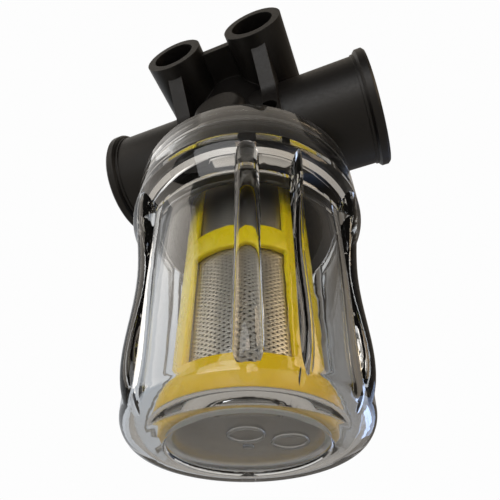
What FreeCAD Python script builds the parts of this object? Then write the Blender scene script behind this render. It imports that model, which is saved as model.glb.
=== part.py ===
# Compact magnetic system filter: a nylon head with two threaded ports and two fixing tubes, and a
# clear bowl that screws onto it and holds a mesh cartridge around a magnet rod.
# Millimetres, +Z up. The origin is the centre of the bowl's base; the ports lie along X and the
# mouths of the fixing tubes face -Y.
import FreeCAD, Part
import math
import os
import Sketcher

Vector = FreeCAD.Vector
Rotation = FreeCAD.Rotation
doc = FreeCAD.newDocument("SystemFilter")
sheet = doc.addObject("Spreadsheet::Sheet", "Sizes")

drivingSizes = {
    # bowl
    "bowlHeight": 75.0,
    "neckRadius": 32.0,
    "collarDepth": 16.5,
    "shoulderDepth": 6.5,
    "wallRadiusTop": 27.7,
    "wallRadiusLow": 25.2,
    "bowlWall": 3.2,
    "floorThickness": 3.5,
    "baseRounding": 5.5,
    "floorRounding": 2.4,
    "shoulderRounding": 2.2,
    "neckRounding": 1.6,
    "rimRounding": 0.7,
    "footRadius": 16.0,
    "footRecess": 0.8,
    "ribCount": 6,
    "ribPhase": -69.0,
    "ribHalfWidth": 2.8,
    "slimRibAngle": 23.0,
    "slimRibHalfWidth": 1.3,
    # bowl thread and seal
    "threadRadius": 28.4,
    "threadDepth": 1.5,
    "threadPitch": 4.0,
    "threadTurns": 2.25,
    "threadCrest": 1.1,
    "threadFlank": 0.5,
    "threadClearance": 0.3,
    "threadRoot": 0.4,
    "threadLead": 1.2,
    "noseRadius": 25.6,
    "noseLength": 8.5,
    "noseClearance": 0.25,
    "noseGap": 0.4,
    "bowlSealSection": 2.3,
    "sealGap": 0.05,
    # head
    "headRadius": 27.5,
    "headRounding": 3.0,
    "columnRounding": 3.0,
    "noseRounding": 0.5,
    "cavityRounding": 1.5,
    "cavityRise": 7.0,
    "headRise": 9.0,
    "columnRadius": 19.0,
    "portRise": 27.0,
    "portHalfLength": 45.4,
    "barrelRadius": 17.5,
    "collarRadius": 18.9,
    "collarWidth": 3.4,
    "collarGroove": 0.9,
    "portBore": 10.0,
    "cavityRadius": 21.0,
    "inletWindowWidth": 13.0,
    "centreTubeOuter": 16.0,
    "centreTubeBore": 13.5,
    "centreTubeLength": 8.0,
    "outletBore": 11.0,
    "chamberHeadroom": 1.0,
    # fixing tubes
    "tubeRise": 46.5,
    "tubePitch": 28.6,
    "tubeRadius": 9.7,
    "tubeBore": 6.95,
    "tubeHalfLength": 32.3,
    "tubeFloor": 12.0,
    "webThickness": 3.0,
    "webSetback": 3.0,
    "sleeveOuter": 6.0,
    "screwHole": 4.25,
    "legOffset": 14.8,
    "legThickness": 4.8,
    "legReach": 30.0,
    "legFootReach": 19.0,
    "bulgeRadius": 8.2,
    "bulgeRise": 15.6,
    "bulgeReach": 25.0,
    "corePocketRadius": 3.4,
    # port inserts
    "insertRadius": 15.2,
    "insertLength": 17.0,
    "insertInset": 0.5,
    "insertBore": 12.06,
    "insertSealSection": 1.3,
    # cartridge
    "cartridgeRadius": 16.4,
    "frameThickness": 1.6,
    "baseRingFlare": 1.4,
    "baseRingRadius": ("cartridgeRadius", "baseRingFlare"),
    "baseRingHeight": 6.8,
    "flareRounding": 2.5,
    "footRounding": 0.6,
    "topRounding": 1.0,
    "plugRounding": 0.5,
    "midRingHeight": 6.6,
    "midRingRise": 38.4,
    "topRingHeight": 4.5,
    "topRingDrop": 4.0,
    "barCount": 3,
    "barPhase": -17.0,
    "barAngle": 38.0,
    "meshThickness": 0.3,
    "plugLength": 8.0,
    "plugClearance": 0.6,
    "plugBore": 9.8,
    "cartridgeSealSection": 1.9,
    "cartridgeGap": 0.3,
    "baseSealWidth": 1.4,
    "baseSealHeight": 1.5,
    # magnet rod
    "rodRadius": 8.0,
    "rodWall": 0.6,
    "rodRise": 12.0,
    "plugHeight": 4.5,
    "lowPlugRounding": 1.0,
    "magnetHeight": 9.0,
    "magnetCount": 4,
    "poleHeight": 2.5,
    "magnetPlay": 0.1,
    "stemRadius": 3.0,
    "stemInsertRadius": 4.6,
    "stemInsertLength": 5.5,
}


class Size:
    # a number together with the sheet expression that gives it

    def __init__(self, number, text):
        self.number = number
        self.text = text

    def joined(self, sign, number, other):
        return Size(number, f"({self.text} {sign} {other.text})")

    def __add__(self, other):
        other = sized(other)
        return self.joined("+", self.number + other.number, other)

    def __sub__(self, other):
        other = sized(other)
        return self.joined("-", self.number - other.number, other)

    def __mul__(self, other):
        other = sized(other)
        return self.joined("*", self.number * other.number, other)

    def __truediv__(self, other):
        other = sized(other)
        return self.joined("/", self.number / other.number, other)

    def __neg__(self):
        return Size(-self.number, f"(0 - {self.text})")


def sized(value):
    return value if isinstance(value, Size) else Size(value, repr(value))


class Sheet:
    # the driving dimensions by name, as Size values
    pass


s = Sheet()
for row, (alias, number) in enumerate(drivingSizes.items(), start=1):
    sheet.set(f"A{row}", alias)
    if isinstance(number, tuple):
        # a size that follows others is their sum, and its cell holds the formula
        sheet.set(f"B{row}", "=" + " + ".join(number))
        number = sum(getattr(s, name).number for name in number)
    else:
        sheet.set(f"B{row}", str(number))
    sheet.setAlias(f"B{row}", alias)
    setattr(s, alias, Size(number, f"Sizes.{alias}"))
doc.recompute()


# ---- places that several pieces share ----
rim = s.bowlHeight
collarFoot = rim - s.collarDepth
shoulderFoot = collarFoot - s.shoulderDepth
threadTop = rim - s.threadLead
threadFoot = threadTop - s.threadPitch * s.threadTurns
threadCore = s.threadRadius - s.threadDepth
neckBore = s.threadRadius + s.threadClearance
sealBore = s.noseRadius + s.noseClearance
noseTop = threadFoot - s.threadCrest * 1.2
noseFoot = noseTop - s.noseLength
innerShoulder = noseFoot - s.noseGap
portAxis = rim + s.portRise
tubeAxis = rim + s.tubeRise
tubeOffset = s.tubePitch / 2
webFoot = tubeAxis - s.webThickness * 0.7
cavityTop = rim + s.cavityRise
chamberTop = portAxis + s.portBore + s.chamberHeadroom
cartridgeFoot = s.floorThickness + s.cartridgeGap
frameBore = s.cartridgeRadius - s.frameThickness
topRingTop = rim - s.topRingDrop
plugRadius = s.centreTubeBore - s.plugClearance
rodTop = (s.rodRise + s.plugHeight * 2 + s.magnetHeight * s.magnetCount
          + s.poleHeight * (s.magnetCount - 1))


# ---- small modelling helpers ----
def bind(thing, prop, size):
    thing.setExpression(prop, sized(size).text)


def place(thing, x=0, y=0, z=0, turn=None):
    thing.Placement = FreeCAD.Placement(Vector(0, 0, 0), turn or Rotation())
    for axis, size in (("x", x), ("y", y), ("z", z)):
        bind(thing, f".Placement.Base.{axis}", size)
    return thing


alongX = Rotation(Vector(0, 1, 0), 90)
alongY = Rotation(Vector(1, 0, 0), -90)


def cylinder(name, radius, length, x=0, y=0, z=0, turn=None, angle=None):
    thing = doc.addObject("Part::Cylinder", name)
    bind(thing, "Radius", radius)
    bind(thing, "Height", length)
    if angle is not None:
        bind(thing, "Angle", angle)
    return place(thing, x, y, z, turn)


def box(name, lengths, x=0, y=0, z=0):
    thing = doc.addObject("Part::Box", name)
    for prop, size in zip(("Length", "Width", "Height"), lengths):
        bind(thing, prop, size)
    return place(thing, x, y, z)


def torus(name, centreRadius, section, x=0, y=0, z=0, turn=None):
    thing = doc.addObject("Part::Torus", name)
    bind(thing, "Radius1", centreRadius)
    bind(thing, "Radius2", section / 2)
    return place(thing, x, y, z, turn)


def fuse(name, pieces):
    thing = doc.addObject("Part::MultiFuse", name)
    thing.Shapes = pieces
    thing.Refine = True
    return thing


def cut(name, base, tool):
    thing = doc.addObject("Part::Cut", name)
    thing.Base = base
    thing.Tool = tool
    return thing


def polar(radius, angle):
    # the x and y of a point at a radius and an angle in degrees about Z
    turned = math.radians(angle.number)
    x = Size(radius.number * math.cos(turned), f"({radius.text} * cos({angle.text} * 1 deg))")
    y = Size(radius.number * math.sin(turned), f"({radius.text} * sin({angle.text} * 1 deg))")
    return x, y


def turnedAboutZ(thing, angle):
    thing.Placement.Rotation = Rotation(Vector(0, 0, 1), angle.number)
    bind(thing, ".Placement.Rotation.Angle", angle)
    return thing


def newBody(name):
    return doc.addObject("PartDesign::Body", name)


def originPart(body, role):
    return [part for part in body.Origin.OriginFeatures if part.Role == role][0]


def outline(body, name, corners, plane="XZ_Plane"):
    # a closed sketch of straight edges whose corners are held by the sheet
    sketch = body.newObject("Sketcher::SketchObject", name)
    sketch.AttachmentSupport = [(originPart(body, plane), "")]
    sketch.MapMode = "FlatFace"
    corners = [(sized(across), sized(up)) for across, up in corners]
    points = [Vector(across.number, up.number, 0) for across, up in corners]
    for index, point in enumerate(points):
        sketch.addGeometry(Part.LineSegment(point, points[(index + 1) % len(points)]))
    for index in range(len(points)):
        following = (index + 1) % len(points)
        sketch.addConstraint(Sketcher.Constraint("Coincident", index, 2, following, 1))
    for index, corner in enumerate(corners):
        for kind, axisLine, size in zip(("DistanceX", "DistanceY"), (-2, -1), corner):
            if size.number == 0:
                sketch.addConstraint(Sketcher.Constraint("PointOnObject", index, 1, axisLine))
            else:
                held = Sketcher.Constraint(kind, -1, 1, index, 1, size.number)
                bind(sketch, f"Constraints[{sketch.addConstraint(held)}]", size)
    return sketch


def revolved(body, name, corners, axis="V_Axis"):
    sketch = outline(body, f"{name}Outline", corners)
    feature = body.newObject("PartDesign::Revolution", name)
    feature.Profile = sketch
    feature.ReferenceAxis = (sketch, [axis])
    feature.Angle = 360
    sketch.Visibility = False
    doc.recompute()
    return feature


def circleEdges(shape, rings):
    # the names of the round edges with one of the given radii and heights about Z
    names = []
    for index, edge in enumerate(shape.Edges, start=1):
        if not isinstance(edge.Curve, Part.Circle):
            continue
        centre = edge.Curve.Center
        for radius, height in rings:
            if abs(edge.Curve.Radius - radius.number) < 1e-3 and abs(centre.z - height.number) < 1e-3:
                names.append(f"Edge{index}")
    return names


def rounded(body, base, name, radius, rings):
    doc.recompute()
    feature = body.newObject("PartDesign::Fillet", name)
    feature.Base = (base, circleEdges(base.Shape, [(sized(r), sized(z)) for r, z in rings]))
    bind(feature, "Radius", radius)
    doc.recompute()
    return feature


def threadRidge(name, root, crest, foot, top, rootHalf, crestHalf):
    # a right-handed trapezoid thread ridge from its buried root to its crest
    corners = [
        Vector(root.number, 0, -rootHalf.number),
        Vector(crest.number, 0, -crestHalf.number),
        Vector(crest.number, 0, crestHalf.number),
        Vector(root.number, 0, rootHalf.number),
    ]
    profile = Part.Wire(Part.makePolygon(corners + corners[:1]).Edges)
    helix = Part.makeHelix(s.threadPitch.number, top.number - foot.number, threadCore.number)
    ridge = Part.Wire(helix.Edges).makePipeShell([profile], True, True)
    ridge.translate(Vector(0, 0, foot.number))
    thing = doc.addObject("Part::Feature", name)
    thing.Shape = ridge
    return thing


# ---- bowl: clear polycarbonate, moulded in one piece with six round ribs ----
def makeBowl():
    shell = newBody("BowlShell")
    wallTop = s.wallRadiusTop - s.bowlWall
    wallLow = s.wallRadiusLow - s.bowlWall
    turned = revolved(shell, "BowlTurned", [
        (0, s.footRecess),
        (s.footRadius, s.footRecess),
        (s.footRadius, 0),
        (s.wallRadiusLow, 0),
        (s.wallRadiusTop, shoulderFoot),
        (s.neckRadius, collarFoot),
        (s.neckRadius, rim),
        (neckBore, rim),
        (neckBore, noseTop + 0.1),
        (sealBore, noseTop - 0.8),
        (sealBore, innerShoulder),
        (wallTop, innerShoulder),
        (wallTop, shoulderFoot - 2),
        (wallLow, s.floorThickness),
        (0, s.floorThickness),
    ])
    base = rounded(shell, turned, "BaseRounding", s.baseRounding, [(s.wallRadiusLow, 0)])
    floor = rounded(shell, base, "FloorRounding", s.floorRounding, [(wallLow, s.floorThickness)])
    shoulder = rounded(shell, floor, "ShoulderRounding", s.shoulderRounding,
                       [(s.wallRadiusTop, shoulderFoot)])
    neck = rounded(shell, shoulder, "NeckRounding", s.neckRounding, [(s.neckRadius, collarFoot)])
    rounded(shell, neck, "RimRounding", s.rimRounding, [(s.neckRadius, rim), (s.footRadius, 0)])

    # each rib is a loft through flat ovals; a row gives its height, outer reach and radial half-depth
    ribStations = [
        (collarFoot + 0.6, s.neckRadius - 0.15, 2.6),
        (shoulderFoot - 1.5, s.neckRadius - 0.8, 2.5),
        (shoulderFoot * 0.8, s.wallRadiusTop + 1.7, 2.3),
        (shoulderFoot * 0.37, s.wallRadiusLow + 2.6, 2.2),
        (s.baseRounding + 1.5, s.wallRadiusLow + 1.5, 2.2),
        (s.baseRounding * 0.3, s.wallRadiusLow - 1.5, 2.0),
    ]
    def makeRib(name, angle, halfWidth):
        ovals = []
        for height, reach, depth in ribStations:
            oval = doc.addObject("Part::Ellipse", f"{name}Oval")
            longer = max(depth, halfWidth.number)
            bind(oval, "MajorRadius", sized(depth) if longer == depth else halfWidth)
            bind(oval, "MinorRadius", halfWidth if longer == depth else sized(depth))
            x, y = polar(reach - depth, angle)
            place(oval, x, y, height)
            turnedAboutZ(oval, angle if longer == depth else angle + 90)
            ovals.append(oval)
        rib = doc.addObject("Part::Loft", name)
        rib.Sections = ovals
        rib.Solid = True
        return rib

    ribs = []
    for number in range(int(s.ribCount.number)):
        angle = s.ribPhase + 360.0 / s.ribCount.number * number
        ribs.append(makeRib(f"Rib{number}", angle, s.ribHalfWidth))
    ribs.append(makeRib("SlimRib", s.ribPhase + s.slimRibAngle, s.slimRibHalfWidth))
    rootHalf = (s.threadPitch - s.threadCrest) / 2 - s.threadClearance
    ridge = threadRidge("BowlThread", neckBore + s.threadRoot, threadCore + s.threadClearance,
                        threadFoot + s.threadPitch / 2, rim - s.threadLead - s.threadRoot,
                        rootHalf, rootHalf - s.threadFlank * 0.8)
    return fuse("bowl", [shell] + ribs + [ridge])


# ---- head: black glass-filled nylon, one moulding with ports, fixing tubes and threaded spigot ----
def makeHead():
    core = newBody("HeadCore")
    sealFloor = s.noseRadius - s.bowlSealSection * 0.9
    sealFoot = noseFoot + (s.noseLength - s.bowlSealSection * 1.25) / 2
    sealTop = sealFoot + s.bowlSealSection * 1.25
    headTop = rim + s.headRise
    turned = revolved(core, "HeadTurned", [
        (0, cavityTop),
        (s.centreTubeBore, cavityTop),
        (s.centreTubeBore, cavityTop - s.centreTubeLength),
        (s.centreTubeOuter, cavityTop - s.centreTubeLength),
        (s.centreTubeOuter, cavityTop),
        (s.cavityRadius, cavityTop),
        (s.cavityRadius, noseFoot),
        (s.noseRadius, noseFoot),
        (s.noseRadius, sealFoot),
        (sealFloor, sealFoot),
        (sealFloor, sealTop),
        (s.noseRadius, sealTop),
        (s.noseRadius, noseTop),
        (threadCore, noseTop + 1.2),
        (threadCore, threadTop + 0.6),
        (s.headRadius, rim + 0.2),
        (s.headRadius, headTop),
        (s.columnRadius, headTop + 7),
        (s.columnRadius, webFoot + 1),
        (0, webFoot + 1),
    ])
    crown = rounded(core, turned, "HeadRounding", s.headRounding, [(s.headRadius, headTop)])
    waist = rounded(core, crown, "ColumnRounding", s.columnRounding, [(s.columnRadius, headTop + 7)])
    nose = rounded(core, waist, "NoseRounding", s.noseRounding, [(s.noseRadius, noseFoot)])
    rounded(core, nose, "CavityRounding", s.cavityRounding, [(s.cavityRadius, cavityTop)])

    ridge = threadRidge("HeadThread", threadCore - s.threadRoot, s.threadRadius, threadFoot,
                        threadTop, s.threadCrest / 2 + s.threadFlank, s.threadCrest / 2)
    barrel = cylinder("Barrel", s.barrelRadius, s.portHalfLength * 2, x=-s.portHalfLength,
                      z=portAxis, turn=alongX)
    pieces = [core, ridge, barrel]
    for side, name in ((-1, "Left"), (1, "Right")):
        pieces.append(makeCollar(name, side))
        pieces.append(cylinder(f"FixingTube{name}", s.tubeRadius, s.tubeHalfLength * 2,
                               x=tubeOffset * side, y=-s.tubeHalfLength, z=tubeAxis, turn=alongY))
        pieces.append(makeLeg(name, side))
    pieces.append(box("TubeWeb", (s.tubePitch, (s.tubeHalfLength - s.webSetback) * 2, s.webThickness),
                      x=-tubeOffset, y=s.webSetback - s.tubeHalfLength, z=webFoot))
    pieces.append(makeBulge())
    head = fuse("HeadSolid", pieces)
    for cavity in makeHeadCavities():
        head = cut(f"HeadWith{cavity.Name}", head, cavity)
    head.Label = "head_body"
    return head


def makeCollar(name, side):
    # the bead that rings a port's mouth, and the narrow groove beside it
    body = newBody(f"Collar{name}")
    mouth = s.portHalfLength
    bead = mouth - s.collarWidth
    revolved(body, f"Collar{name}Turned", [
        (bead - s.collarGroove, s.portBore + 3),
        (mouth, s.portBore + 3),
        (mouth, s.collarRadius - 0.7),
        (mouth - 0.7, s.collarRadius),
        (bead + 0.7, s.collarRadius),
        (bead, s.collarRadius - 0.7),
        (bead, s.barrelRadius + 0.35),
        (bead - s.collarGroove, s.barrelRadius + 0.35),
    ], axis="H_Axis")
    body.Placement.Rotation = Rotation(Vector(0, 0, 1), 0 if side > 0 else 180)
    bind(body, ".Placement.Base.z", portAxis)
    return body


def makeLeg(name, side):
    # an upright web under a fixing tube, whose ends slope back down to the body
    body = newBody(f"FixingLeg{name}")
    foot = rim + s.headRise - 1
    knee = rim + s.portRise - 2
    armpit = tubeAxis - s.tubeRadius * 0.75
    leg = body.newObject("PartDesign::Pad", f"LegPad{name}")
    leg.Profile = outline(body, f"LegOutline{name}", [
        (-s.legFootReach, foot),
        (s.legFootReach, foot),
        (s.legFootReach, knee),
        (s.legReach, armpit),
        (s.legReach, tubeAxis),
        (-s.legReach, tubeAxis),
        (-s.legReach, armpit),
        (-s.legFootReach, knee),
    ], plane="YZ_Plane")
    bind(leg, "Length", s.legThickness)
    leg.Midplane = True
    doc.recompute()
    corners = []
    for index, edge in enumerate(leg.Shape.Edges, start=1):
        middle = edge.CenterOfMass
        if abs(middle.z - knee.number) < 1e-3 and abs(edge.tangentAt(0).x) > 0.99:
            corners.append(f"Edge{index}")
    fillet = body.newObject("PartDesign::Fillet", f"LegRounding{name}")
    fillet.Base = (leg, corners)
    bind(fillet, "Radius", s.legThickness * 1.5)
    return place(body, x=s.legOffset * side)


def makeBulge():
    # the round-fronted swelling over the water way, between the legs
    reach = s.bulgeReach
    barrel = cylinder("BulgeBarrel", s.bulgeRadius, reach * 2, y=-reach, z=rim + s.bulgeRise,
                      turn=alongY)
    doc.recompute()
    ends = []
    for index, edge in enumerate(barrel.Shape.Edges, start=1):
        if isinstance(edge.Curve, Part.Circle):
            ends.append((index, 2.5, 2.5))
    bulge = doc.addObject("Part::Fillet", "PassageBulge")
    bulge.Base = barrel
    bulge.Edges = ends
    return bulge


def makeHeadCavities():
    # the water ways, the pockets for the inserts and the fixing tubes' bores
    over = 1.0
    pieces = []
    inletEnd = s.centreTubeOuter - 0.2
    pieces.append(cylinder("InletBore", s.portBore, s.portHalfLength - inletEnd + over,
                           x=-s.portHalfLength - over, z=portAxis, turn=alongX))
    pieces.append(cylinder("OutletBore", s.portBore, s.portHalfLength + over, z=portAxis,
                           turn=alongX))
    for side, name in ((-1, "Inlet"), (1, "Outlet")):
        start = s.portHalfLength - s.insertInset - s.insertLength
        pocketX = start if side > 0 else -s.portHalfLength - over
        pieces.append(cylinder(f"{name}Pocket", s.insertRadius,
                               s.insertLength + s.insertInset + over, x=pocketX, z=portAxis,
                               turn=alongX))
        pieces.append(cylinder(f"{name}TubeBore", s.tubeBore,
                               s.tubeHalfLength * 2 - s.tubeFloor + over, x=tubeOffset * side,
                               y=-s.tubeHalfLength - over, z=tubeAxis, turn=alongY))
        pieces.append(cylinder(f"{name}SleeveBore", s.sleeveOuter, s.tubeFloor + over * 2,
                               x=tubeOffset * side, y=s.tubeHalfLength - s.tubeFloor - over,
                               z=tubeAxis, turn=alongY))
    for side, name in ((-1, "Left"), (1, "Right")):
        pieces.append(cylinder(f"CorePocket{name}", s.corePocketRadius, s.legFootReach,
                               x=(s.legOffset - 1.2) * side, y=-s.legFootReach - s.bulgeRadius,
                               z=rim + s.bulgeRise, turn=alongY))
    pieces.append(cylinder("Chamber", s.outletBore, chamberTop - cavityTop + over,
                           z=cavityTop - over))
    pieces.append(cylinder("StemInsertBore", s.stemInsertRadius, s.stemInsertLength + over,
                           z=chamberTop - over))
    ring = cylinder("InletRing", s.cavityRadius - 0.2, portAxis - cavityTop + over,
                    z=cavityTop - over)
    middle = cylinder("InletRingMiddle", s.centreTubeOuter + 0.2, portAxis - cavityTop + over * 3,
                      z=cavityTop - over * 2)
    window = box("InletWindow",
                 (s.cavityRadius, s.inletWindowWidth, portAxis - cavityTop + over),
                 x=-s.cavityRadius, y=-s.inletWindowWidth / 2, z=cavityTop - over)
    sector = doc.addObject("Part::MultiCommon", "InletSector")
    sector.Shapes = [cut("InletRingOpen", ring, middle), window]
    pieces.append(sector)
    return pieces


def makePortInsert(name, side):
    # a brass socket moulded into the port, with a groove for its seal and a knurled band
    body = newBody(name)
    mouth = s.portHalfLength - s.insertInset
    inner = mouth - s.insertLength
    sealAt = inner + 3.0
    floor = s.insertRadius - s.insertSealSection
    knurl = s.insertRadius - 0.5
    revolved(body, f"{name}Turned", [
        (inner, s.insertBore),
        (mouth - 1.2, s.insertBore),
        (mouth, s.insertBore + 1.2),
        (mouth, s.insertRadius),
        (mouth - 2.0, s.insertRadius),
        (mouth - 2.4, knurl),
        (mouth - 4.0, knurl),
        (mouth - 4.4, s.insertRadius),
        (sealAt + s.insertSealSection, s.insertRadius),
        (sealAt + s.insertSealSection, floor),
        (sealAt, floor),
        (sealAt, s.insertRadius),
        (inner, s.insertRadius),
    ], axis="H_Axis")
    body.Placement.Rotation = Rotation(Vector(0, 0, 1), 0 if side > 0 else 180)
    bind(body, ".Placement.Base.z", portAxis)
    centre = s.insertRadius - s.insertSealSection / 2
    seal = torus(f"{name}_o_ring", centre, s.insertSealSection - 0.1,
                 x=(sealAt + s.insertSealSection / 2) * side, z=portAxis, turn=alongX)
    return [body, seal]


def makeFixingSleeves():
    sleeves = []
    for side, name in ((-1, "Left"), (1, "Right")):
        start = s.tubeHalfLength - s.tubeFloor
        outer = cylinder(f"Sleeve{name}", s.sleeveOuter, s.tubeFloor, x=tubeOffset * side,
                         y=start, z=tubeAxis, turn=alongY)
        hole = cylinder(f"SleeveHole{name}", s.screwHole, s.tubeFloor + 2, x=tubeOffset * side,
                        y=start - 1, z=tubeAxis, turn=alongY)
        sleeves.append(cut(f"FixingSleeve{name}", outer, hole))
    pair = doc.addObject("Part::Compound", "fixing_sleeves")
    pair.Links = sleeves
    return pair


def makeBowlSeal():
    floor = s.noseRadius - s.bowlSealSection * 0.9
    outer = sealBore - s.sealGap
    section = outer - floor
    return torus("bowl_o_ring", floor + section / 2, section, z=noseFoot + s.noseLength / 2)


# ---- cartridge: yellow moulded frame around a woven steel mesh ----
def makeCartridgeFrame():
    shell = newBody("FrameShell")
    sealFloor = plugRadius - s.cartridgeSealSection * 0.8
    sealFoot = topRingTop + s.plugLength * 0.45
    sealTop = sealFoot + s.cartridgeSealSection * 1.2
    ringTop = cartridgeFoot + s.baseRingHeight
    sealInner = s.cartridgeRadius - s.baseSealWidth
    frame = revolved(shell, "FrameTurned", [
        (frameBore, cartridgeFoot),
        (sealInner, cartridgeFoot),
        (sealInner, cartridgeFoot + s.baseSealHeight),
        (s.cartridgeRadius, cartridgeFoot + s.baseSealHeight),
        (s.cartridgeRadius, cartridgeFoot),
        (s.baseRingRadius, cartridgeFoot),
        (s.baseRingRadius, cartridgeFoot + s.baseRingHeight * 0.45),
        (s.cartridgeRadius, ringTop),
        (s.cartridgeRadius, topRingTop),
        (plugRadius, topRingTop),
        (plugRadius, sealFoot),
        (sealFloor, sealFoot),
        (sealFloor, sealTop),
        (plugRadius, sealTop),
        (plugRadius, topRingTop + s.plugLength),
        (s.plugBore, topRingTop + s.plugLength),
        (s.plugBore, topRingTop - 2),
        (frameBore, topRingTop - 2),
    ])
    flare = rounded(shell, frame, "FlareRounding", s.flareRounding,
                    [(s.baseRingRadius, cartridgeFoot + s.baseRingHeight * 0.45)])
    foot = rounded(shell, flare, "FootRounding", s.footRounding, [(s.baseRingRadius, cartridgeFoot)])
    shoulder = rounded(shell, foot, "TopRounding", s.topRounding, [(s.cartridgeRadius, topRingTop)])
    rounded(shell, shoulder, "PlugRounding", s.plugRounding, [(plugRadius, topRingTop + s.plugLength)])

    windows = []
    windowAngle = sized(360.0) / s.barCount - s.barAngle
    lowTop = s.midRingRise
    highFoot = s.midRingRise + s.midRingHeight
    highTop = topRingTop - s.topRingHeight
    for number in range(int(s.barCount.number)):
        start = s.barPhase + s.barAngle / 2 + 360.0 / s.barCount.number * number
        for level, foot, top in (("Low", ringTop, lowTop), ("High", highFoot, highTop)):
            wedge = cylinder(f"Window{level}{number}", s.cartridgeRadius + 4, top - foot,
                             z=foot, angle=windowAngle)
            windows.append(turnedAboutZ(wedge, start))
    return cut("cartridge_frame", shell, fuse("FrameWindows", windows))


def makeCartridgeMesh():
    foot = cartridgeFoot + 1.5
    length = topRingTop - 3.0 - foot
    outer = cylinder("MeshOuter", frameBore, length, z=foot)
    inner = cylinder("MeshInner", frameBore - s.meshThickness, length + 2, z=foot - 1)
    return cut("cartridge_mesh", outer, inner)


def makeCartridgeSeals():
    floor = plugRadius - s.cartridgeSealSection * 0.8
    outer = s.centreTubeBore - s.sealGap
    section = outer - floor
    height = topRingTop + s.plugLength * 0.45 + s.cartridgeSealSection * 0.6
    top = torus("cartridge_o_ring", floor + section / 2, section, z=height)
    body = newBody("cartridge_base_seal")
    inner = s.cartridgeRadius - s.baseSealWidth
    revolved(body, "BaseSealTurned", [
        (inner, s.floorThickness + s.sealGap),
        (s.cartridgeRadius, s.floorThickness + s.sealGap),
        (s.cartridgeRadius, cartridgeFoot + s.baseSealHeight),
        (inner, cartridgeFoot + s.baseSealHeight),
    ])
    return [top, body]


# ---- magnet rod: a steel tube of magnets and pole discs on a stem screwed into the head ----
def makeMagnetRod():
    sleeve = newBody("magnet_sleeve")
    bore = s.rodRadius - s.rodWall
    revolved(sleeve, "SleeveTurned", [
        (bore, s.rodRise),
        (s.rodRadius, s.rodRise),
        (s.rodRadius, rodTop),
        (bore, rodTop),
    ])
    lowPlug = newBody("magnet_bottom_plug")
    turned = revolved(lowPlug, "LowPlugTurned", [
        (0, s.rodRise),
        (bore, s.rodRise),
        (bore, s.rodRise + s.plugHeight),
        (0, s.rodRise + s.plugHeight),
    ])
    rounded(lowPlug, turned, "LowPlugRounding", s.lowPlugRounding, [(bore, s.rodRise)])
    topPlug = newBody("magnet_top_plug")
    revolved(topPlug, "TopPlugTurned", [
        (s.stemRadius, rodTop - s.plugHeight),
        (bore, rodTop - s.plugHeight),
        (bore, rodTop),
        (s.stemRadius + 2, rodTop + 2),
        (s.stemRadius, rodTop + 2),
    ])
    discRadius = bore - s.magnetPlay
    magnets = []
    poles = []
    for number in range(int(s.magnetCount.number)):
        foot = s.rodRise + s.plugHeight + (s.magnetHeight + s.poleHeight) * number
        magnets.append(cylinder(f"Magnet{number}", discRadius, s.magnetHeight, z=foot))
        if number + 1 < s.magnetCount.number:
            poles.append(cylinder(f"Pole{number}", discRadius, s.poleHeight,
                                  z=foot + s.magnetHeight))
    magnetStack = doc.addObject("Part::Compound", "magnet_discs")
    magnetStack.Links = magnets
    poleStack = doc.addObject("Part::Compound", "pole_discs")
    poleStack.Links = poles
    stemFoot = rodTop - s.plugHeight
    stemTop = chamberTop + s.stemInsertLength - 0.5
    stem = cylinder("magnet_stem", s.stemRadius, stemTop - stemFoot, z=stemFoot)
    insertOuter = cylinder("StemInsertOuter", s.stemInsertRadius, s.stemInsertLength, z=chamberTop)
    insertBore = cylinder("StemInsertInner", s.stemRadius, s.stemInsertLength + 2,
                          z=chamberTop - 1)
    insert = cut("stem_insert", insertOuter, insertBore)
    nutHeight = 3.0
    nutOuter = doc.addObject("Part::Prism", "LockNutOuter")
    nutOuter.Polygon = 6
    bind(nutOuter, "Circumradius", s.stemRadius * 1.9)
    bind(nutOuter, "Height", sized(nutHeight))
    place(nutOuter, z=chamberTop - nutHeight)
    nutBore = cylinder("LockNutBore", s.stemRadius, nutHeight + 2.0, z=chamberTop - nutHeight - 1)
    nut = cut("stem_lock_nut", nutOuter, nutBore)
    return [sleeve, lowPlug, topPlug, magnetStack, poleStack, stem, insert, nut]


nodes = [makeBowl(), makeHead()]
nodes += makePortInsert("inlet_thread_insert", -1) + makePortInsert("outlet_thread_insert", 1)
nodes += [makeFixingSleeves(), makeBowlSeal(), makeCartridgeFrame(), makeCartridgeMesh()]
nodes += makeCartridgeSeals() + makeMagnetRod()
doc.recompute()

for thing in doc.Objects:
    if "Invalid" in thing.State or "Error" in thing.State:
        raise RuntimeError(f"{thing.Name} failed: {thing.State}")
os.makedirs("parts", exist_ok=True)
for node in nodes:
    shape = node.Shape
    if shape.isNull() or not shape.isValid() or not shape.Solids:
        raise RuntimeError(f"{node.Label} has no valid solid")
    shape.exportStep(f"parts/{node.Label}.step")
    print(f"{node.Label}: {len(shape.Solids)} solid(s), {shape.Volume:.0f} mm3")
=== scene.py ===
import math

import bpy
from mathutils import Matrix, Vector


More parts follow.
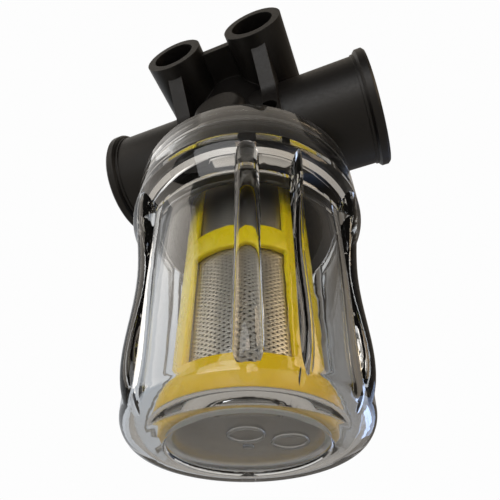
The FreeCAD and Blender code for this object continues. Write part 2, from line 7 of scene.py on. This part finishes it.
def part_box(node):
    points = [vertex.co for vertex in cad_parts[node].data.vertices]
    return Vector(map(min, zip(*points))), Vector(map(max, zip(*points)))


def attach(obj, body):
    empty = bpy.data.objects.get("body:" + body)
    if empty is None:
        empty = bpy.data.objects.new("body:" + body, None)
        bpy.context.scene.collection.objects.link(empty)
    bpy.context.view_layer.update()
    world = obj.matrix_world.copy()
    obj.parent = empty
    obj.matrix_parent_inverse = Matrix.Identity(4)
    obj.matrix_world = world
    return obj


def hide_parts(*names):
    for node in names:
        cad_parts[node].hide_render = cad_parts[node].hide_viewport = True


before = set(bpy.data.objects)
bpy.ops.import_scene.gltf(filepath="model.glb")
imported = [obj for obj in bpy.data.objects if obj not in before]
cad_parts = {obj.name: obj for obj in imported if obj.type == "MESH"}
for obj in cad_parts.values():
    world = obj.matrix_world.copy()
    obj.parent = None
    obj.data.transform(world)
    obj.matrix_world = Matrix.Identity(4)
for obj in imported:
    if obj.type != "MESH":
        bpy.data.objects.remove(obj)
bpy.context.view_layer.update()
mm = 0.001
print("frame loaded")


def deselectAll():
    if bpy.context.object is not None and bpy.context.object.mode != "OBJECT":
        bpy.ops.object.mode_set(mode="OBJECT")
    bpy.ops.object.select_all(action="DESELECT")


def take(piece):
    deselectAll()
    piece.select_set(True)
    bpy.context.view_layer.objects.active = piece


camera = {
    "distance": 88.19,  # from the bowl's axis, level
    "height": -29.74,  # under the foot of the bowl
    "round": 21.03,  # degrees from straight in front
    "turn": 20.57,
    "pitch": 43.26,
    "roll": -0.63,
    "lens": 31.46,
}


def makeCamera():
    around = math.radians(camera["round"])
    place = Vector((math.sin(around), -math.cos(around), 0)) * camera["distance"] * mm
    place.z = camera["height"] * mm
    turn = (
        Matrix.Rotation(math.radians(camera["turn"]), 4, "Z")
        @ Matrix.Rotation(math.radians(90 + camera["pitch"]), 4, "X")
        @ Matrix.Rotation(math.radians(camera["roll"]), 4, "Z")
    )
    bpy.ops.object.camera_add()
    cam = bpy.context.object
    cam.name = "camera"
    cam.matrix_world = Matrix.Translation(place) @ turn
    cam.data.lens = camera["lens"]
    cam.data.clip_start = 0.005
    bpy.context.scene.camera = cam


studio = {
    "floorHeight": -115.0,
    "floorRadius": 1900.0,
    "backdropRadius": 2000.0,
    "backdropColour": "#fdfdfd",
    "floorColour": "#dcdad6",
    "roomColour": "#46433f",  # the warm, dim room that the gloss and the clear bowl pick up
}
# the brighter parts of the room: way to them, where each starts and is full (cosine), colour, strength
openings = [
    ((-0.80, 0.35, 0.30), 0.3, 0.95, "#dfe3e8", 0.62),
    ((0.60, 0.75, 0.30), 0.5, 0.98, "#a39686", 0.30),
    ((0.70, -0.20, -0.70), 0.62, 1.0, "#a9c8ff", 1.5),
    ((-0.20, 0.10, 1.0), 0.6, 1.0, "#fff3e2", 0.45),
]
# name, place (mm), aim (mm), size (mm), watts, colour
lamps = [
    ("keyLamp", (-760, -560, 420), (0, 0, 70), 900, 2.3, "#fff4e6"),
    ("warmLamp", (900, -260, 330), (40, 0, 100), 500, 1.7, "#ffe3bd"),
    ("tanLamp", (330, -900, -60), (20, 0, 95), 300, 0.45, "#ffdcb8"),
    ("frontLamp", (40, -760, -40), (0, 0, 40), 700, 2.5, "#ffffff"),
    ("coolLamp", (420, 640, -80), (20, 0, 100), 620, 1.3, "#b9d2ff"),
]


def linear(hexColour):
    channels = [int(hexColour[i : i + 2], 16) / 255 for i in (1, 3, 5)]
    return tuple(c / 12.92 if c <= 0.04045 else ((c + 0.055) / 1.055) ** 2.4 for c in channels) + (1.0,)


def newTree(owner):
    owner.use_nodes = True
    owner.node_tree.nodes.clear()
    return owner


def addNode(owner, kind, settings=None, links=None):
    node = owner.node_tree.nodes.new("ShaderNode" + kind)
    for name, value in (settings or {}).items():
        if isinstance(name, int) or name in node.inputs:
            node.inputs[name].default_value = value
        else:
            setattr(node, name, value)
    for name, source in (links or {}).items():
        owner.node_tree.links.new(source, node.inputs[name])
    return node


def makeStudio():
    world = newTree(bpy.data.worlds.new("studioAir"))
    bpy.context.scene.world = world
    way = addNode(world, "TexCoord").outputs["Generated"]
    colour = addNode(world, "RGB").outputs[0]
    colour.default_value = linear(studio["roomColour"])
    for towards, start, full, tint, strength in openings:
        dot = addNode(
            world, "VectorMath", {"operation": "DOT_PRODUCT", 1: Vector(towards).normalized()}, {0: way},
        ).outputs["Value"]
        share = addNode(
            world,
            "MapRange",
            {"From Min": start, "From Max": full, "To Max": strength, "interpolation_type": "SMOOTHSTEP"},
            {"Value": dot},
        ).outputs["Result"]
        colour = addNode(
            world,
            "Mix",
            {"data_type": "RGBA", "blend_type": "ADD", 7: linear(tint)},
            {0: share, 6: colour},
        ).outputs[2]
    light = addNode(world, "Background", None, {"Color": colour})
    addNode(world, "OutputWorld", None, {"Surface": light.outputs[0]})

    deselectAll()
    bpy.ops.mesh.primitive_circle_add(
        vertices=96,
        fill_type="NGON",
        radius=studio["floorRadius"] * mm,
        location=(0, 0, studio["floorHeight"] * mm),
    )
    floor = bpy.context.object
    floor.name = "studioFloor"
    paper = newTree(bpy.data.materials.new("matt paper floor"))
    grain = addNode(
        paper,
        "TexNoise",
        {"Scale": 400.0, "Detail": 3.0},
        {"Vector": addNode(paper, "TexCoord").outputs["Object"]},
    )
    bump = addNode(paper, "Bump", {"Strength": 0.1, "Distance": 0.0002}, {"Height": grain.outputs["Fac"]})
    skin = addNode(
        paper,
        "BsdfPrincipled",
        {"Base Color": linear(studio["floorColour"]), "Roughness": 0.85},
        {"Normal": bump.outputs[0]},
    )
    addNode(paper, "OutputMaterial", None, {"Surface": skin.outputs[0]})
    floor.data.materials.append(paper)

    deselectAll()
    bpy.ops.mesh.primitive_uv_sphere_add(segments=48, ring_count=24, radius=studio["backdropRadius"] * mm)
    backdrop = bpy.context.object
    backdrop.name = "studioBackdrop"
    glow = newTree(bpy.data.materials.new("lit backdrop cloth"))
    cloth = addNode(glow, "Emission", {"Color": linear(studio["backdropColour"]), "Strength": 1.0})
    addNode(glow, "OutputMaterial", None, {"Surface": cloth.outputs[0]})
    backdrop.data.materials.append(glow)
    for ray in ("diffuse", "glossy", "transmission", "volume_scatter", "shadow"):
        setattr(backdrop, "visible_" + ray, False)

    for name, place, aim, size, watts, tint in lamps:
        bpy.ops.object.light_add(type="AREA", location=[c * mm for c in place])
        lamp = bpy.context.object
        lamp.name = name
        lamp.data.shape = "DISK"
        lamp.data.size = size * mm
        lamp.data.energy = watts
        lamp.data.color = linear(tint)[:3]
        lamp.rotation_euler = (Vector(place) - Vector(aim)).to_track_quat("Z", "Y").to_euler()
        lamp.visible_camera = False


bpy.context.scene.view_settings.view_transform = "Standard"
makeCamera()
makeStudio()
print("camera and studio set")


def glassFilledNylon():
    # PA66 with chopped glass, moulded in a spark-eroded tool: satin black, a fine orange peel and a
    # faint haze of fibre
    mat = newTree(bpy.data.materials.new("glass filled nylon, moulded satin"))
    at = addNode(mat, "TexCoord").outputs["Object"]
    peel = addNode(
        mat, "TexNoise", {"Scale": 1 / (0.9 * mm), "Detail": 4.0, "Roughness": 0.6}, {"Vector": at},
    ).outputs["Fac"]
    fibre = addNode(
        mat, "TexNoise", {"Scale": 1 / (0.35 * mm), "Detail": 2.0}, {"Vector": at},
    ).outputs["Fac"]
    haze = addNode(mat, "TexNoise", {"Scale": 1 / (14 * mm), "Detail": 2.0}, {"Vector": at}).outputs["Fac"]
    tone = addNode(
        mat, "Mix", {"data_type": "RGBA", 6: linear("#0c0b0b"), 7: linear("#151312")}, {0: haze},
    ).outputs[2]
    rough = addNode(
        mat,
        "MapRange",
        {"From Min": 0.3, "From Max": 0.7, "To Min": 0.34, "To Max": 0.47},
        {"Value": peel},
    ).outputs["Result"]
    both = addNode(mat, "Math", {"operation": "MULTIPLY_ADD", 1: 0.5}, {0: fibre, 2: peel}).outputs[0]
    edge = addNode(mat, "Bevel", {"samples": 4, "Radius": 0.35 * mm}).outputs[0]
    bump = addNode(
        mat, "Bump", {"Strength": 0.35, "Distance": 0.05 * mm}, {"Height": both, "Normal": edge},
    ).outputs[0]
    skin = addNode(
        mat,
        "BsdfPrincipled",
        {"IOR": 1.53, "Specular IOR Level": 0.38},
        {"Base Color": tone, "Roughness": rough, "Normal": bump},
    )
    addNode(mat, "OutputMaterial", None, {"Surface": skin.outputs[0]})
    return mat


def clearPolycarbonate():
    # polished-tool polycarbonate: water clear, slightly cool, slow flow waves in the wall, a matt
    # disc under the foot
    mat = newTree(bpy.data.materials.new("clear polycarbonate, polished moulding"))
    at = addNode(mat, "TexCoord").outputs["Object"]
    flow = addNode(
        mat, "TexNoise", {"Scale": 1 / (11 * mm), "Detail": 1.5, "Distortion": 0.4}, {"Vector": at},
    ).outputs["Fac"]
    haze = addNode(mat, "TexNoise", {"Scale": 1 / (1.4 * mm), "Detail": 4.0}, {"Vector": at}).outputs["Fac"]
    parts = addNode(mat, "SeparateXYZ", None, {0: at}).outputs
    level = addNode(mat, "CombineXYZ", None, {0: parts["X"], 1: parts["Y"]}).outputs[0]
    radius = addNode(mat, "VectorMath", {"operation": "LENGTH"}, {0: level}).outputs["Value"]
    inFoot = addNode(
        mat, "MapRange", {"From Min": 15.9 * mm, "From Max": 15.5 * mm}, {"Value": radius},
    ).outputs["Result"]
    low = addNode(
        mat, "MapRange", {"From Min": 1.4 * mm, "From Max": 1.0 * mm}, {"Value": parts["Z"]},
    ).outputs["Result"]
    disc = addNode(mat, "Math", {"operation": "MULTIPLY"}, {0: inFoot, 1: low}).outputs[0]
    gloss = addNode(
        mat,
        "MapRange",
        {"From Min": 0.4, "From Max": 0.8, "To Min": 0.01, "To Max": 0.05},
        {"Value": haze},
    ).outputs["Result"]
    rough = addNode(mat, "Math", {"operation": "MULTIPLY_ADD", 1: 0.2}, {0: disc, 2: gloss}).outputs[0]
    bump = addNode(mat, "Bump", {"Strength": 0.12, "Distance": 0.2 * mm}, {"Height": flow}).outputs[0]
    glass = addNode(
        mat,
        "BsdfPrincipled",
        {"IOR": 1.58, "Transmission Weight": 1.0, "Base Color": linear("#f4f7fa")},
        {"Roughness": rough, "Normal": bump},
    )
    through = addNode(mat, "BsdfTransparent", {"Color": linear("#e9edf0")})
    lampRay = addNode(mat, "LightPath").outputs["Is Shadow Ray"]
    both = addNode(mat, "MixShader", None, {0: lampRay, 1: glass.outputs[0], 2: through.outputs[0]})
    addNode(mat, "OutputMaterial", None, {"Surface": both.outputs[0]})
    return mat


def yellowPolypropylene():
    # polypropylene homopolymer with masterbatch: glossy, faint flow streaks, a deeper, darker yellow towards
    # the bottom
    mat = newTree(bpy.data.materials.new("yellow polypropylene, glossy moulding"))
    at = addNode(mat, "TexCoord").outputs["Object"]
    height = addNode(mat, "SeparateXYZ", None, {0: at}).outputs["Z"]
    warmth = addNode(
        mat, "MapRange", {"From Min": 4 * mm, "From Max": 30 * mm}, {"Value": height},
    ).outputs["Result"]
    base = addNode(
        mat, "Mix", {"data_type": "RGBA", 6: linear("#f0c400"), 7: linear("#f6dc00")}, {0: warmth},
    ).outputs[2]
    streak = addNode(
        mat, "TexNoise", {"Scale": 1 / (6 * mm), "Detail": 3.0, "Distortion": 1.0}, {"Vector": at},
    ).outputs["Fac"]
    tone = addNode(
        mat,
        "HueSaturation",
        None,
        {
            "Color": base,
            "Value": addNode(
                mat, "MapRange", {"To Min": 0.94, "To Max": 1.05}, {"Value": streak},
            ).outputs["Result"],
        },
    ).outputs[0]
    rough = addNode(mat, "MapRange", {"To Min": 0.2, "To Max": 0.36}, {"Value": streak}).outputs["Result"]
    bump = addNode(mat, "Bump", {"Strength": 0.12, "Distance": 0.08 * mm}, {"Height": streak}).outputs[0]
    skin = addNode(
        mat,
        "BsdfPrincipled",
        {"IOR": 1.49, "Subsurface Weight": 0.08, "Subsurface Scale": 0.6 * mm},
        {"Base Color": tone, "Roughness": rough, "Normal": bump},
    )
    addNode(mat, "OutputMaterial", None, {"Surface": skin.outputs[0]})
    return mat


def wovenStainless():
    # 304 wire cloth wrapped on the bias, so its wires run both ways across the drum; drawn a little
    # coarse so it shows
    mat = newTree(bpy.data.materials.new("stainless wire cloth, plain weave"))
    pitch = 1.0 * mm
    at = addNode(mat, "SeparateXYZ", None, {0: addNode(mat, "TexCoord").outputs["Object"]}).outputs
    angle = addNode(mat, "Math", {"operation": "ARCTAN2"}, {0: at["Y"], 1: at["X"]}).outputs[0]
    drumRadius = 14.8 * mm
    around = round(math.pi * drumRadius / pitch)  # whole, so the weave closes on itself
    warp = addNode(mat, "Math", {"operation": "MULTIPLY", 1: around}, {0: angle}).outputs[0]
    weft = addNode(mat, "Math", {"operation": "MULTIPLY", 1: math.pi / pitch}, {0: at["Z"]}).outputs[0]
    halfWarp = addNode(mat, "Math", {"operation": "MULTIPLY", 1: 0.5}, {0: warp}).outputs[0]
    rising = addNode(mat, "Math", {"operation": "ADD"}, {0: halfWarp, 1: weft}).outputs[0]
    falling = addNode(mat, "Math", {"operation": "SUBTRACT"}, {0: halfWarp, 1: weft}).outputs[0]
    warpUp = addNode(mat, "Math", {"operation": "SINE"}, {0: rising}).outputs[0]
    weftUp = addNode(mat, "Math", {"operation": "SINE"}, {0: falling}).outputs[0]
    warpWire = addNode(mat, "Math", {"operation": "ABSOLUTE"}, {0: warpUp}).outputs[0]
    weftWire = addNode(mat, "Math", {"operation": "ABSOLUTE"}, {0: weftUp}).outputs[0]
    top = addNode(mat, "Math", {"operation": "MAXIMUM"}, {0: warpWire, 1: weftWire}).outputs[0]
    solid = addNode(mat, "MapRange", {"From Min": 0.5, "From Max": 0.62}, {"Value": top}).outputs["Result"]
    # the wire colour runs from dark on the flanks to light on the crests: painted shading of the round wires
    tone = addNode(
        mat, "Mix", {"data_type": "RGBA", 6: linear("#857d70"), 7: linear("#d2cbbf")}, {0: top},
    ).outputs[2]
    bump = addNode(mat, "Bump", {"Strength": 0.45, "Distance": 0.12 * mm}, {"Height": top}).outputs[0]
    rough = addNode(mat, "MapRange", {"To Min": 0.55, "To Max": 0.38}, {"Value": top}).outputs["Result"]
    wire = addNode(
        mat, "BsdfPrincipled", {"Metallic": 1.0}, {"Base Color": tone, "Roughness": rough, "Normal": bump},
    )
    gap = addNode(mat, "BsdfTransparent")
    both = addNode(mat, "MixShader", None, {0: solid, 1: gap.outputs[0], 2: wire.outputs[0]})
    addNode(mat, "OutputMaterial", None, {"Surface": both.outputs[0]})
    return mat


def turnedMetal(name, dark, light, axis, centre, rough):
    # lathe-turned bar: fine rings about the lathe axis, feed marks 0.2 mm apart drawn as noise along
    # the axis
    mat = newTree(bpy.data.materials.new(name))
    at = addNode(mat, "TexCoord").outputs["Object"]
    local = addNode(
        mat, "VectorMath", {"operation": "SUBTRACT", 1: [c * mm for c in centre]}, {0: at}
    ).outputs[0]
    parts = addNode(mat, "SeparateXYZ", None, {0: local}).outputs
    across = [p for p in "XYZ" if p != axis]
    flat = addNode(mat, "CombineXYZ", None, {0: parts[across[0]], 1: parts[across[1]]}).outputs[0]
    radius = addNode(mat, "VectorMath", {"operation": "LENGTH"}, {0: flat}).outputs["Value"]
    ring = addNode(mat, "CombineXYZ", None, {0: radius, 1: parts[axis]}).outputs[0]
    feed = addNode(
        mat, "TexNoise", {"Scale": 1 / (0.25 * mm), "Detail": 3.0}, {"Vector": ring},
    ).outputs["Fac"]
    stain = addNode(mat, "TexNoise", {"Scale": 1 / (5 * mm), "Detail": 3.0}, {"Vector": at}).outputs["Fac"]
    tone = addNode(
        mat, "Mix", {"data_type": "RGBA", 6: linear(dark), 7: linear(light)}, {0: stain},
    ).outputs[2]
    blur = addNode(
        mat, "MapRange", {"To Min": rough[0], "To Max": rough[1]}, {"Value": feed},
    ).outputs["Result"]
    bump = addNode(mat, "Bump", {"Strength": 0.25, "Distance": 0.03 * mm}, {"Height": feed}).outputs[0]
    skin = addNode(
        mat, "BsdfPrincipled", {"Metallic": 1.0}, {"Base Color": tone, "Roughness": blur, "Normal": bump},
    )
    addNode(mat, "OutputMaterial", None, {"Surface": skin.outputs[0]})
    return mat


def nitrileRubber():
    # compression-moulded NBR: matt near-black with a dusty bloom
    mat = newTree(bpy.data.materials.new("nitrile rubber, compression moulded"))
    at = addNode(mat, "TexCoord").outputs["Object"]
    bloom = addNode(
        mat, "TexNoise", {"Scale": 1 / (1.2 * mm), "Detail": 4.0}, {"Vector": at},
    ).outputs["Fac"]
    tone = addNode(
        mat, "Mix", {"data_type": "RGBA", 6: linear("#0e0e0e"), 7: linear("#1d1d1e")}, {0: bloom},
    ).outputs[2]
    rough = addNode(mat, "MapRange", {"To Min": 0.5, "To Max": 0.72}, {"Value": bloom}).outputs["Result"]
    bump = addNode(mat, "Bump", {"Strength": 0.2, "Distance": 0.03 * mm}, {"Height": bloom}).outputs[0]
    skin = addNode(
        mat, "BsdfPrincipled", {"IOR": 1.52}, {"Base Color": tone, "Roughness": rough, "Normal": bump},
    )
    addNode(mat, "OutputMaterial", None, {"Surface": skin.outputs[0]})
    return mat


def siliconeRubber():
    # liquid silicone, moulded: milky, soft sheen
    mat = newTree(bpy.data.materials.new("natural silicone, moulded seal"))
    at = addNode(mat, "TexCoord").outputs["Object"]
    cloud = addNode(
        mat, "TexNoise", {"Scale": 1 / (2.5 * mm), "Detail": 3.0}, {"Vector": at},
    ).outputs["Fac"]
    tone = addNode(
        mat, "Mix", {"data_type": "RGBA", 6: linear("#b9bcbb"), 7: linear("#d9dcda")}, {0: cloud},
    ).outputs[2]
    rough = addNode(mat, "MapRange", {"To Min": 0.3, "To Max": 0.5}, {"Value": cloud}).outputs["Result"]
    skin = addNode(
        mat,
        "BsdfPrincipled",
        {"IOR": 1.41, "Subsurface Weight": 0.3, "Subsurface Scale": 1.0 * mm},
        {"Base Color": tone, "Roughness": rough},
    )
    addNode(mat, "OutputMaterial", None, {"Surface": skin.outputs[0]})
    return mat


nylon = glassFilledNylon()
polycarbonate = clearPolycarbonate()
polypropylene = yellowPolypropylene()
wireCloth = wovenStainless()
brass = turnedMetal("brass, turned inserts", "#a9803e", "#d3ac62", "X", (0, 0, 102), (0.18, 0.34))
steel = turnedMetal("stainless steel, turned", "#8f8d89", "#c4c2bd", "Z", (0, 0, 0), (0.16, 0.32))
sleeveSteel = turnedMetal(
    "stainless steel, turned sleeves", "#8f8d89", "#c4c2bd", "Y", (0, 0, 121.5), (0.2, 0.36),
)
nickel = turnedMetal("nickel plate on sintered magnet", "#9b968c", "#cfc9bd", "Z", (0, 0, 0), (0.12, 0.24))
rubber = nitrileRubber()
silicone = siliconeRubber()
print("materials made")


def finish(node, mat):
    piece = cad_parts[node]
    piece.data.materials.clear()
    piece.data.materials.append(mat)


finishes = {
    nylon: ["head_body"],
    wireCloth: ["cartridge_mesh"],
    brass: ["stem_insert"],
    steel: [
        "magnet_sleeve",
        "magnet_bottom_plug",
        "magnet_top_plug",
        "pole_discs",
        "magnet_stem",
        "stem_lock_nut",
    ],
    sleeveSteel: ["fixing_sleeves"],
    nickel: ["magnet_discs"],
    silicone: ["cartridge_base_seal"],
    rubber: [
        "bowl_o_ring", "cartridge_o_ring", "inlet_thread_insert_o_ring", "outlet_thread_insert_o_ring",
    ],
}
for mat, nodes in finishes.items():
    for node in nodes:
        finish(node, mat)
print("finishes given")


def settle(piece, name, body, mat, angle=35):
    # piece ends at the origin, smooth, in its material and on its body
    take(piece)
    bpy.ops.object.transform_apply(location=True, rotation=True, scale=True)
    piece.name = name
    piece.data.name = name
    bpy.ops.object.shade_smooth_by_angle(angle=math.radians(angle))
    piece.data.materials.clear()
    piece.data.materials.append(mat)
    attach(piece, body)
    return piece


def copyOfNode(node):
    # the node's shape as one closed skin: a copy with its loose corners merged
    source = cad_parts[node]
    piece = bpy.data.objects.new(node + "Skin", source.data.copy())
    bpy.context.scene.collection.objects.link(piece)
    take(piece)
    if piece.data.has_custom_normals:
        bpy.ops.mesh.customdata_custom_splitnormals_clear()
    bpy.ops.object.mode_set(mode="EDIT")
    bpy.ops.mesh.select_all(action="SELECT")
    bpy.ops.mesh.remove_doubles(threshold=0.002 * mm)
    bpy.ops.mesh.normals_make_consistent(inside=False)
    bpy.ops.object.mode_set(mode="OBJECT")
    return piece


def choose(piece, kind, test):
    # selects the faces, edges or corners whose middle passes the test, given in mm; leaves edit mode open
    take(piece)
    bpy.ops.object.mode_set(mode="EDIT")
    bpy.ops.mesh.select_mode(type=kind)
    bpy.ops.mesh.select_all(action="DESELECT")
    bpy.ops.object.mode_set(mode="OBJECT")
    mesh = piece.data
    if kind == "VERT":
        for corner in mesh.vertices:
            corner.select = test(corner.co / mm)
    elif kind == "EDGE":
        for edge in mesh.edges:
            ends = [mesh.vertices[i].co for i in edge.vertices]
            edge.select = test((ends[0] + ends[1]) / 2 / mm)
    else:
        for face in mesh.polygons:
            face.select = test(face.center / mm)
    bpy.ops.object.mode_set(mode="EDIT")


bowlLooks = {
    "recess": 0.8,  # mm, the floor above the foot ring
    "markRadius": 3.4,  # mm, the two plain round moulding marks under the foot
    "markLine": 0.3,
    "markPlaces": ((1.8, -5.9), (8.4, 0.4)),
    "gateRadius": 1.1,
    "gateHeight": 0.5,
    "gateSoftEdge": 0.15,
    "sunk": 0.1,  # how far marks and gate reach into the floor
}


def makeFootDetail(kind, name, place):
    # a raised ring mark or the gate nub, on the underside of the floor
    c = bowlLooks
    deselectAll()
    if kind == "mark":
        at = Vector((*place, c["recess"] + c["sunk"] - c["markLine"])) * mm
        bpy.ops.mesh.primitive_torus_add(
            major_segments=72,
            minor_segments=14,
            major_radius=c["markRadius"] * mm,
            minor_radius=c["markLine"] * mm,
            location=at,
        )
    else:
        at = Vector((*place, c["recess"] + c["sunk"] - c["gateHeight"] / 2)) * mm
        bpy.ops.mesh.primitive_cylinder_add(
            vertices=40, radius=c["gateRadius"] * mm, depth=c["gateHeight"] * mm, location=at,
        )
        soft = bpy.context.object.modifiers.new("softEdge", "BEVEL")
        soft.width = c["gateSoftEdge"] * mm
        soft.segments = 3
        bpy.ops.object.modifier_apply(modifier=soft.name)
    return settle(bpy.context.object, name, "bowl", polycarbonate, 40)


def makeBowl():
    bowl = copyOfNode("bowl")
    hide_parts("bowl")
    for number, place in enumerate(bowlLooks["markPlaces"], start=1):
        makeFootDetail("mark", f"footMark{number}", place)
    makeFootDetail("gate", "gateNub", (0, 0))
    return settle(bowl, "clearBowl", "bowl", polycarbonate, 28)


cartridgeLooks = {
    "radius": 16.4,
    "wall": 1.6,
    "steps": 180,
    "foot": 3.8,
    "footRing": (17.8, 10.6),  # radius, top
    "midRing": (38.4, 45.0),
    "topRing": (66.5, 71.0),
    "plug": (12.9, 79.0),
    "bars": (-17.0, 103.0, 223.0),
    "barAngle": 38.0,
    "softEdge": 0.55,
}


def makeCartridgeFrame():
    c = cartridgeLooks
    middle = c["radius"] - c["wall"] / 2
    top = c["topRing"][1] - c["wall"] / 2
    deselectAll()
    bpy.ops.mesh.primitive_cylinder_add(
        vertices=c["steps"], radius=middle * mm, depth=(top - c["foot"]) * mm, end_fill_type="NOTHING",
        location=(0, 0, (top + c["foot"]) / 2 * mm),
    )
    piece = bpy.context.object
    bpy.ops.object.transform_apply(location=True, rotation=True, scale=True)
    for level in (c["footRing"][1], *c["midRing"], c["topRing"][0]):
        bpy.ops.object.mode_set(mode="EDIT")
        bpy.ops.mesh.select_all(action="SELECT")
        bpy.ops.mesh.bisect(plane_co=(0, 0, level * mm), plane_no=(0, 0, 1))
        bpy.ops.object.mode_set(mode="OBJECT")

    def inWindow(place):
        if not (c["footRing"][1] < place.z < c["midRing"][0] or c["midRing"][1] < place.z < c["topRing"][0]):
            return False
        angle = math.degrees(math.atan2(place.y, place.x))
        return all(abs((angle - bar + 180) % 360 - 180) > c["barAngle"] / 2 for bar in c["bars"])

    choose(piece, "FACE", inWindow)
    bpy.ops.mesh.delete(type="FACE")
    bpy.ops.object.mode_set(mode="OBJECT")
    # the shoulder and the plug rise from the top edge
    choose(piece, "VERT", lambda place: place.z > top - 0.1)
    plugMiddle = c["plug"][0] - c["wall"] / 2
    bpy.ops.mesh.extrude_region_move()
    bpy.ops.transform.resize(value=(plugMiddle / middle, plugMiddle / middle, 1))
    bpy.ops.mesh.extrude_region_move(TRANSFORM_OT_translate={"value": (0, 0, (c["plug"][1] - top) * mm)})
    bpy.ops.object.mode_set(mode="OBJECT")
    wall = piece.modifiers.new("wall", "SOLIDIFY")
    wall.thickness = c["wall"] * mm
    wall.offset = 0
    wall.use_even_offset = True
    bpy.ops.object.modifier_apply(modifier=wall.name)
    # the thicker ring round the foot
    out = c["radius"] - 0.2
    choose(
        piece,
        "FACE",
        lambda place: place.z < c["footRing"][1] - 0.3 and math.hypot(place.x, place.y) > out,
    )
    bpy.ops.mesh.extrude_region_shrink_fatten(
        TRANSFORM_OT_shrink_fatten={"value": (c["footRing"][0] - c["radius"]) * mm},
    )
    bpy.ops.mesh.select_all(action="SELECT")
    bpy.ops.mesh.normals_make_consistent(inside=False)
    bpy.ops.object.mode_set(mode="OBJECT")
    soft = piece.modifiers.new("softEdges", "BEVEL")
    soft.width = c["softEdge"] * mm
    soft.segments = 3
    soft.angle_limit = math.radians(40)
    soft.use_clamp_overlap = True
    bpy.ops.object.modifier_apply(modifier=soft.name)
    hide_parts("cartridge_frame")
    return settle(piece, "cartridgeFrame", "cartridge", polypropylene)


insertLooks = {
    "outer": 15.2,
    "inner": 13.2,  # the thread's root
    "crest": 12.1,
    "pitch": 1.814,  # G 3/4, fourteen to the inch
    "mouth": 44.9,
    "back": 27.9,
    "leadIn": 0.8,  # plain bore before and after the thread
    "brokenEdge": 0.35,
    "steps": 72,
}


def makePortInsert(side, node, name):
    # a lathe profile with the thread's teeth, turned by the screw modifier, then the plain outer
    # sleeve round it
    c = insertLooks
    turns = int((c["mouth"] - c["back"] - c["leadIn"] * 2) / c["pitch"])
    deselectAll()
    bpy.ops.mesh.primitive_plane_add(size=1 * mm, location=(0, 0, 0))
    tooth = bpy.context.object
    bpy.ops.object.mode_set(mode="EDIT")
    bpy.ops.mesh.delete(type="ONLY_FACE")
    bpy.ops.object.mode_set(mode="OBJECT")
    half = c["pitch"] / 2
    places = (
        (c["inner"], -half), (c["crest"], -half * 0.12), (c["crest"], half * 0.12), (c["inner"], half),
    )
    for corner, (radius, along) in zip(
        sorted(tooth.data.vertices, key=lambda v: v.index), [places[0], places[1], places[3], places[2]],
    ):
        corner.co = Vector((radius, 0, along)) * mm
    tooth.data.update()
    choose(tooth, "EDGE", lambda place: abs(place.x - c["inner"]) < 0.01)
    bpy.ops.mesh.delete(type="EDGE")
    bpy.ops.object.mode_set(mode="OBJECT")
    screw = tooth.modifiers.new("thread", "SCREW")
    screw.axis = "Z"
    screw.screw_offset = c["pitch"] * mm
    screw.iterations = turns
    screw.steps = screw.render_steps = c["steps"]
    screw.use_merge_vertices = True
    screw.merge_threshold = 0.001 * mm
    bpy.ops.object.modifier_apply(modifier=screw.name)

    bpy.ops.mesh.primitive_cylinder_add(
        vertices=c["steps"],
        radius=c["outer"] * mm,
        depth=(c["mouth"] - c["back"]) * mm,
        end_fill_type="NOTHING",
        location=(0, 0, (c["mouth"] - c["back"]) / 2 * mm),
    )
    sleeve = bpy.context.object
    wall = sleeve.modifiers.new("wall", "SOLIDIFY")
    wall.thickness = (c["outer"] - c["inner"] + 0.05) * mm
    wall.offset = -1
    bpy.ops.object.modifier_apply(modifier=wall.name)
    edge = sleeve.modifiers.new("brokenEdge", "BEVEL")
    edge.width = c["brokenEdge"] * mm
    edge.segments = 2
    bpy.ops.object.modifier_apply(modifier=edge.name)
    tooth.location = (0, 0, (c["leadIn"] + half) * mm)
    deselectAll()
    tooth.select_set(True)
    sleeve.select_set(True)
    bpy.context.view_layer.objects.active = sleeve
    bpy.ops.object.join()
    sleeve.rotation_euler = (0, math.radians(90 * side), 0)
    low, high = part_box(node)
    sleeve.location = (c["back"] * side * mm, 0, (low.z + high.z) / 2)
    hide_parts(node)
    return settle(sleeve, name, "head", brass, 30)


makeBowl()
makeCartridgeFrame()
makePortInsert(-1, "inlet_thread_insert", "inletThread")
makePortInsert(1, "outlet_thread_insert", "outletThread")
print("pieces modelled")
